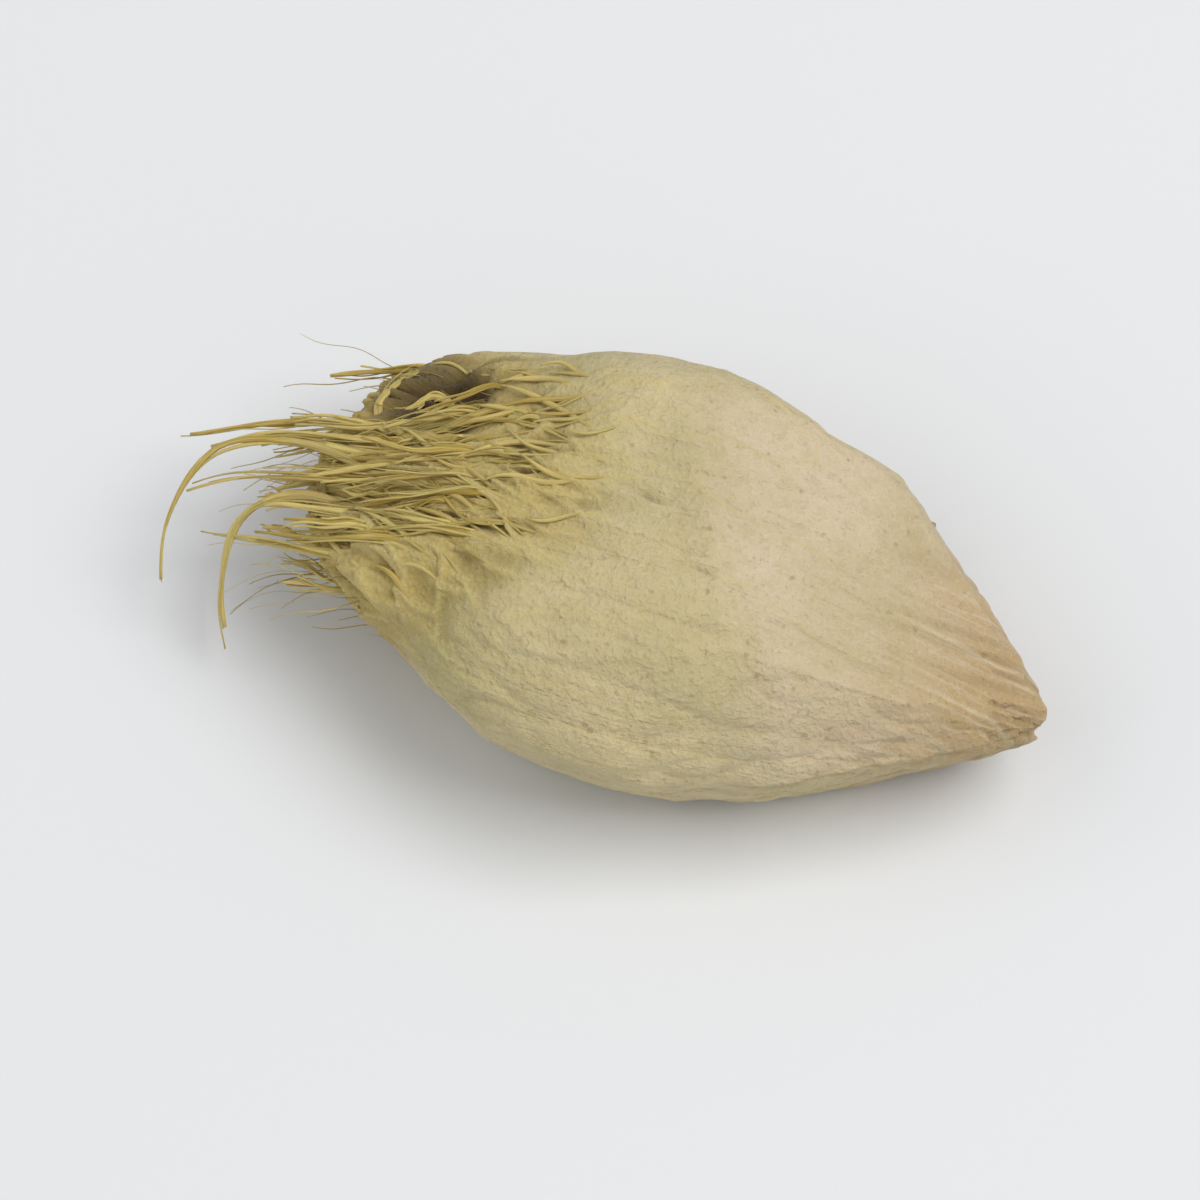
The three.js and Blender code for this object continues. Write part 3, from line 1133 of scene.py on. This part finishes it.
@dataclass
class FibreBundles:
    """The bundles of the frayed end, where the solid has them, each split into its fine filaments."""

    form: FleshForm

    # Bundles that stand out of the end
    count: int = 34
    turn: tuple[float, float] = (148, 201)
    lean: tuple[float, float] = (-8, 40)
    even_step: tuple[float, float] = (0.7548776662, 0.5698402910)
    sunk: float = 0.8
    shortest: float = 0.2
    reach_power: float = 1.4
    drift: float = -0.2
    gather: float = 0.2
    lift: float = 0.02
    wander: float = 0.42
    curl: float = 0.5
    droop: float = 0.4
    free_shares: tuple[float, ...] = (0.5, 1.0)

    # Strands that lie along the flesh: where each starts along and across, its free reach and its drift
    strands: tuple[tuple[float, float, float, float], ...] = (
        (-1.7, 1.3, 0.9, -0.15),
        (-1.5, 0.95, 1.7, -0.3),
        (-2.1, 0.65, 1.2, -0.1),
        (-1.6, 0.1, 1.9, -0.35),
        (-2.3, -0.5, 0.8, -0.2),
    )
    strand_end: float = -0.9 * FLESH_LENGTH / 2
    strand_gather: float = 0.3
    strand_sag: float = 0.4
    lying_shares: tuple[float, ...] = (0.0, 0.4, 0.8)

    # The loop round the pit, and the two fibres that hang down
    loop: tuple[tuple[float, float], ...] = (
        (-2.8, 1.15),
        (-3.2, 0.85),
        (-3.75, 0.92),
        (-4.08, 1.4),
        (-3.75, 1.95),
        (-3.1, 2.0),
    )
    hanging: tuple[tuple[tuple[float, float, float], ...], ...] = (
        ((-3.6, 0.35, 2.2), (-4.7, 0.4, 2.35), (-5.7, 0.1, 2.15), (-6.1, -0.7, 1.5), (-5.9, -1.6, 0.8)),
        ((-3.4, -0.2, 2.1), (-4.5, -0.2, 2.2), (-5.2, -0.55, 1.8), (-5.25, -1.2, 1.1), (-5.0, -1.7, 0.5)),
    )

    # Filaments: the share of the thickness that the core of each kind of bundle has, then the fine ones
    cores: tuple[float, float, float, float] = (0.52, 0.52, 0.85, 0.6)
    filaments: int = 5
    thinnest: float = 0.55
    filament_radius: tuple[float, float] = (0.012, 0.028)
    core_end: tuple[float, float] = (0.9, 1.0)
    filament_end: tuple[float, float] = (0.6, 1.0)
    end_power: float = 0.7
    twist: float = 2.4
    apart: tuple[float, float] = (0.035, 0.07)
    apart_root: float = 0.8
    apart_tip: float = 1.6
    wave_across: float = 0.025
    wave_up: float = 0.0175
    wave_bends: tuple[float, float] = (5, 14)
    taper: float = 0.6
    knot_height: float = 0.18
    knots: float = 17.0
    sides: int = 7
    rings: int = 28

    def brush_routes(self) -> np.ndarray:
        """Works out each free bundle's points: sunk in the flesh, out of it, half way and at the tip.

        Returns:
            Bundles by points by 3.
        """
        item = np.arange(self.count)
        u, v = ((0.5 + step * item) % 1 for step in self.even_step)
        out = self.form.surface(facing(lerp(*self.turn, u), lerp(*self.lean, v)))
        away = out - self.form.heart
        root = out - away * (self.sunk / np.linalg.norm(away, axis=1, keepdims=True))
        reach = FIBRE_REACH * lerp(self.shortest, 1, draw(item, Drawn.BUNDLE_REACH) ** self.reach_power)
        wander_y = self.wander * (draw(item, Drawn.BUNDLE_DRIFT) - 0.5)
        wander_z = self.wander * (draw(item, Drawn.BUNDLE_LIFT) - 0.5)
        slope_y = self.drift - self.gather * out[:, 1] + wander_y
        slope_z = self.lift - self.gather * away[:, 2] + wander_z
        curl_y = self.curl * (draw(item, Drawn.BUNDLE_CURL) - 0.5) / FIBRE_REACH
        curl_z = -self.droop * draw(item, Drawn.BUNDLE_DROOP) / FIBRE_REACH
        free = []
        for share in self.free_shares:
            t = share * reach
            path = [-t, slope_y * t + curl_y * t**2, slope_z * t + curl_z * t**2]
            free.append(out + np.stack(path, axis=-1))
        return np.stack([root, out, *free], axis=1)

    def strand_routes(self) -> np.ndarray:
        """Works out the points of the strands that lie half sunk on the flesh and run out over its end.

        Returns:
            Strands by points by 3.
        """
        start, across, reach, drift = np.array(self.strands).T
        lying = []
        for share in self.lying_shares:
            x = lerp(start, self.strand_end, share)
            lying.append(self.form.top(np.stack([x, across * (1 - self.strand_gather * share)], axis=-1)))
        lying[0][:, 2] -= FIBRE_THICKNESS
        last = lying[-1]
        free = []
        for share in self.free_shares:
            y = last[:, 1] + share * drift * reach
            z = last[:, 2] - share**2 * self.strand_sag * reach
            free.append(np.stack([self.strand_end - share * reach, y, z], axis=-1))
        return np.stack([*lying, *free], axis=1)

    def loop_route(self) -> np.ndarray:
        """Works out the points of the loop round the pit, whose two ends dive into the flesh."""
        points = self.form.top(np.array(self.loop))
        points[[0, -1], 2] -= FIBRE_THICKNESS
        return points[None]

    def split(self, routes: np.ndarray, first: int, core: float) -> tuple[np.ndarray, np.ndarray, np.ndarray]:
        """Makes each bundle of a core and of fine filaments that wind round it and part towards the tip.

        Args:
            routes: Bundles by points by 3.
            first: The number of the first bundle, for its draws.
            core: The thickness of a core as a part of the whole bundle's.

        Returns:
            Filaments by rings by 3, their radii, and one tint from 0 to 1 for each filament.
        """
        bundle = np.repeat(first + np.arange(len(routes)), self.filaments)[:, None]
        item = first * self.filaments + np.arange(len(bundle))[:, None]
        is_core = item % self.filaments == 0
        share = np.linspace(0, 1, self.rings)[None]
        drawn_end = draw(item, Drawn.FILAMENT_END)
        fine_end = lerp(*self.filament_end, drawn_end**self.end_power)
        ends = np.where(is_core, lerp(*self.core_end, drawn_end), fine_end)
        centres = smooth_route(np.repeat(routes, self.filaments, axis=0), share * ends)
        spin = 2 * np.pi * draw(item, Drawn.FILAMENT_PLACE)
        spin = spin + self.twist * (draw(item, Drawn.FILAMENT_TWIST) - 0.5) * share
        parting = self.apart_root + self.apart_tip * share**3 * draw(item, Drawn.FILAMENT_PARTING)
        apart = np.where(is_core, 0, lerp(*self.apart, draw(item, Drawn.FILAMENT_APART)) * parting)
        bends = share * lerp(*self.wave_bends, draw(item, Drawn.FILAMENT_BENDS))
        wave = share * np.sin(bends + ANY_PHASE * draw(item, Drawn.FILAMENT_PHASE))
        centres[:, :, 1] += apart * np.cos(spin) + self.wave_across * wave
        centres[:, :, 2] += apart * np.sin(spin) + self.wave_up * wave
        thickness = FIBRE_THICKNESS * lerp(self.thinnest, 1, draw(bundle, Drawn.BUNDLE_THICKNESS))
        fine = lerp(*self.filament_radius, draw(item, Drawn.FILAMENT_RADIUS))
        radii = np.where(is_core, thickness / 2 * core, fine) * (1 - self.taper * share**2)
        knots = np.sin(self.knots * share + ANY_PHASE * draw(item, Drawn.FILAMENT_KNOTS))
        return centres, radii * (1 + self.knot_height * knots), draw(item, Drawn.FILAMENT_TINT)[:, 0]

    def build(self) -> None:
        """Makes the piece with all bundles, numbered in the order of their routes."""
        groups = (self.brush_routes(), self.strand_routes(), self.loop_route(), np.array(self.hanging))
        firsts = np.cumsum([0] + [len(routes) for routes in groups])
        parts = [self.split(*group) for group in zip(groups, firsts, self.cores)]
        centres, radii, tint = (np.concatenate(part) for part in zip(*parts))
        shape = round_rods(centres, radii, self.sides, tint)
        add_piece("fibre_bundles", shape, StrawFibre("root_fibre_straw").material())


@dataclass
class LyingStrands:
    """Fine fibres torn bare, which come out of the smooth flesh and cross each other on the frayed end."""

    form: FleshForm
    count: int = 230
    clear_of_pit: float = 0.6
    start: tuple[float, float] = (-0.3, -3.2)
    start_power: float = 0.8
    across: tuple[float, float] = (-1.5, 2.1)
    length: tuple[float, float] = (1.0, 2.7)
    length_power: float = 1.2
    end: float = -4.3
    slant: tuple[float, float] = (-0.25, 0.55)
    gather: float = 0.2
    wander: float = 0.08
    wander_bends: tuple[float, float] = (3, 9)
    radius: tuple[float, float] = (0.012, 0.042)
    radius_power: float = 1.7

    # The swelling of the flesh over a root, by shares of the strand's length
    seam_width: float = 0.055
    seam_rise: tuple[float, float] = (0.0, 0.2)
    seam_fall: tuple[float, float] = (0.7, 0.45)
    seam_batches: int = 80

    # How a strand comes out of the flesh and lifts off: heights in radii, then in millimetres
    comes_out: tuple[float, float] = (0.05, 0.6)
    sunk_radii: float = 1.5
    out_radii: float = 2.2
    wave_radii: float = 0.35
    wave_bends: float = 11.0
    root_depth: float = 0.03
    root_radius: float = 0.45
    lift: tuple[float, float] = (0.0, 0.16)
    lift_power: float = 2.5
    lift_from: tuple[float, float] = (0.5, 1.0)
    taper: float = 0.7
    taper_from: tuple[float, float] = (0.7, 1.0)
    bared: float = 0.8
    sides: int = 6
    rings: int = 30

    def __post_init__(self) -> None:
        """Works out each strand's places along and across: from its start towards the frayed end, at a
        slant. A strand that would cross the pit is left out."""
        item = np.arange(self.count)[:, None]
        self.share = np.linspace(0, 1, self.rings)[None]
        length = lerp(*self.length, draw(item, Drawn.STRAND_LENGTH) ** self.length_power)
        across = lerp(*self.across, draw(item, Drawn.STRAND_ACROSS))
        start = lerp(*self.start, draw(item, Drawn.STRAND_START) ** self.start_power)
        start = start + BORDER_NEAR_SLOPE * np.minimum(across - BORDER_NEAR_FROM, 0)
        slant = lerp(*self.slant, draw(item, Drawn.STRAND_SLANT)) - self.gather * across
        bends = self.share * lerp(*self.wander_bends, draw(item, Drawn.STRAND_BENDS))
        wander = self.wander * np.sin(bends + ANY_PHASE * draw(item, Drawn.STRAND_PHASE))
        x = np.maximum(start - length * self.share, self.end)
        places = np.stack([x, across + slant * length * self.share + wander], axis=-1)
        is_clear = np.linalg.norm(places - self.form.pit_at, axis=2).min(axis=1) > self.clear_of_pit
        self.item, self.places = item[is_clear], places[is_clear]

    def seams(self, points: np.ndarray) -> np.ndarray:
        """Gives how much the flesh swells over the strands' roots, which still lie under it: a bell curve
        across each root, which fades at the root's start and where the strand comes out.

        Args:
            points: Points of the flesh.

        Returns:
            One value from 0 to 1 for each point.
        """
        shown = (smoothstep(self.share, *self.seam_rise) * smoothstep(self.share, *self.seam_fall))[0]
        roots = self.places[:, shown > 0].reshape(-1, 2)
        weight = np.tile(shown[shown > 0], len(self.places))
        is_near = (points[:, 2] > self.form.heart[2]) & (points[:, 0] < self.places[:, :, 0].max())
        swell = np.zeros(len(points))
        for rows in np.array_split(np.flatnonzero(is_near), self.seam_batches):
            away = ((points[rows, None, :2] - roots) ** 2).sum(axis=2)
            swell[rows] = (weight * np.exp(-away / self.seam_width**2)).max(axis=1)
        return swell

    def build(self) -> None:
        """Makes the piece. Each strand starts thin and sunk in the flesh, comes out of it little by little,
        and lifts off near its tip."""
        item, share = self.item, self.share
        centres = self.form.top(self.places.reshape(-1, 2)).reshape(-1, self.rings, 3)
        radius = lerp(*self.radius, draw(item, Drawn.STRAND_RADIUS) ** self.radius_power)
        out = smoothstep(share, *self.comes_out)
        bends = self.wave_bends * share + ANY_PHASE * draw(item, Drawn.STRAND_WAVE)
        rise = self.out_radii + self.wave_radii * (1 + np.sin(bends))
        lift = lerp(*self.lift, draw(item, Drawn.STRAND_LIFT) ** self.lift_power)
        centres[:, :, 2] += radius * (rise * out - self.sunk_radii) - self.root_depth * (1 - out)
        centres[:, :, 2] += lift * smoothstep(share, *self.lift_from)
        taper = 1 - self.taper * smoothstep(share, *self.taper_from)
        radii = radius * lerp(self.root_radius, 1, out) * taper
        shape = round_rods(centres, radii, self.sides, draw(item, Drawn.STRAND_TINT)[:, 0])
        add_piece("lying_strands", shape, StrawFibre("torn_strand_straw", self.bared).material())


@dataclass
class FineHairs:
    """Hair-thin fibre ends that stand out of the frayed end."""

    form: FleshForm
    count: int = 170
    turn: tuple[float, float] = (150, 208)
    lean: tuple[float, float] = (-20, 50)
    least_torn: float = 0.45
    reach: tuple[float, float] = (0.2, 1.5)
    reach_power: float = 2.2
    sunk_share: float = 0.12
    outward: float = 0.15
    rise: tuple[float, float] = (-0.18, 0.12)
    curl: tuple[float, float] = (-0.36, 0.24)
    drift: tuple[float, float] = (-0.51, 0.09)
    bend: tuple[float, float] = (-0.51, 0.09)
    wave: float = 0.03
    wave_bends: float = 7.0
    lowest: float = 0.05
    radius: tuple[float, float] = (0.006, 0.014)
    taper: float = 0.6
    sides: int = 4
    rings: int = 18

    def build(self) -> None:
        """Makes the piece. Each hair leaves the surface, bends over towards the end and curls."""
        item = np.arange(self.count)
        turn = lerp(*self.turn, draw(item, Drawn.HAIR_TURN))
        directions = facing(turn, lerp(*self.lean, draw(item, Drawn.HAIR_LEAN)))
        is_torn = self.form.frayed(self.form.surface(directions)) > self.least_torn
        item, directions = item[is_torn, None], directions[is_torn]
        share = np.linspace(0, 1, self.rings)[None]
        t = (share - self.sunk_share) * lerp(*self.reach, draw(item, Drawn.HAIR_REACH) ** self.reach_power)
        wave = self.wave * np.sin(self.wave_bends * t + ANY_PHASE * draw(item, Drawn.HAIR_PHASE))
        sideways = lerp(*self.drift, draw(item, Drawn.HAIR_DRIFT)) * t
        sideways = sideways + lerp(*self.bend, draw(item, Drawn.HAIR_BEND)) * t**2
        upwards = lerp(*self.rise, draw(item, Drawn.HAIR_RISE)) * t
        upwards = upwards + lerp(*self.curl, draw(item, Drawn.HAIR_CURL)) * t**2
        centres = self.form.surface(directions)[:, None] + self.outward * directions[:, None] * t[:, :, None]
        centres += np.stack([-t, sideways + wave, upwards + wave], axis=-1)
        centres[:, :, 2] = np.maximum(centres[:, :, 2], self.lowest)
        radii = lerp(*self.radius, draw(item, Drawn.HAIR_RADIUS)) * (1 - self.taper * share)
        shape = round_rods(centres, radii, self.sides, draw(item, Drawn.HAIR_TINT)[:, 0])
        add_piece("fine_hairs", shape, StrawFibre("root_hair_straw").material())


@dataclass(frozen=True)
class SoftLight:
    """A square soft light: its azimuth, 0 in front of the piece, and elevation in degrees, its distance and
    side in millimetres, and its power in watts."""

    name: str
    azimuth: float
    elevation: float
    away: float
    size: float
    watts: float


@dataclass
class Studio:
    """The pale floor, the soft lights and the camera at the viewing angle."""

    azimuth: float = 18.3
    elevation: float = 64.0
    away: float = 260.0
    frame_width: float = 14.6
    aim: tuple[float, float, float] = (-0.75, -0.1, 1.5)
    clip: tuple[float, float] = (10.0, 2000.0)
    sensor: float = 36.0
    floor_size: float = 700.0
    floor_colour: str = "#e6e7e8"
    lights: tuple[SoftLight, ...] = (
        SoftLight("key", 105, 62, 260, 170, 0.45),
        SoftLight("fill", -60, 45, 300, 280, 0.2),
    )
    room_colour: str = "#f2f4f7"
    room_strength: float = 0.42

    def hang(
        self, data: bpy.types.ID, azimuth: float, elevation: float, away: float, aim: Vector
    ) -> bpy.types.Object:
        """Adds a camera or a light that looks at a place.

        Args:
            data: The camera or light.
            azimuth: Its azimuth in degrees, 0 in front of the piece.
            elevation: Its height above the horizon in degrees.
            away: Its distance in millimetres.
            aim: The place that it looks at.

        Returns:
            The new object.
        """
        back = Vector(facing(azimuth - 90, elevation))
        hung = bpy.data.objects.new(data.name, data)
        hung.location = (aim + back * away) * MM
        hung.rotation_euler = (-back).to_track_quat("-Z", "Y").to_euler()
        bpy.context.scene.collection.objects.link(hung)
        return hung

    def camera(self) -> None:
        """Adds a long-lens camera that looks down on the piece."""
        data = bpy.data.cameras.new("camera")
        data.sensor_width = self.sensor
        data.lens = self.sensor * self.away / self.frame_width
        data.clip_start, data.clip_end = (limit * MM for limit in self.clip)
        camera = self.hang(data, self.azimuth, self.elevation, self.away, Vector(self.aim))
        bpy.context.scene.camera = camera

    def floor(self) -> None:
        """Adds the plain matt floor."""
        half = self.floor_size / 2 * MM
        mesh = bpy.data.meshes.new("floor")
        corners = [(x * half, y * half, 0) for x, y in ((-1, -1), (1, -1), (1, 1), (-1, 1))]
        mesh.from_pydata(corners, [], [(0, 1, 2, 3)])
        floor = bpy.data.objects.new("floor", mesh)
        bpy.context.scene.collection.objects.link(floor)
        material, shader = new_material("matt_paper_floor")
        finish = {"Base Color": linear(self.floor_colour), "Roughness": 0.9, "Specular IOR Level": 0.2}
        set_inputs(material.node_tree, shader, finish)
        mesh.materials.append(material)

    def build(self) -> None:
        """Sets up the stage."""
        self.camera()
        self.floor()
        for light in self.lights:
            data = bpy.data.lights.new(light.name, "AREA")
            data.size = light.size * MM
            data.energy = light.watts
            self.hang(data, light.azimuth, light.elevation, light.away, Vector())
        world = bpy.data.worlds.new("soft_room")
        world.use_nodes = True
        room = {"Color": linear(self.room_colour), "Strength": self.room_strength}
        set_inputs(world.node_tree, world.node_tree.nodes["Background"], room)
        bpy.context.scene.world = world
        bpy.context.scene.view_settings.view_transform = "Standard"


def main() -> None:
    """Builds the pieces in order."""
    logging.basicConfig(level=logging.INFO, format="%(name)s: %(message)s")
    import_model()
    form = FleshForm()
    Studio().build()
    strands = LyingStrands(form)
    Flesh(form, strands).build()
    FibreBundles(form).build()
    strands.build()
    FineHairs(form).build()


if __name__ == "__main__":
    main()
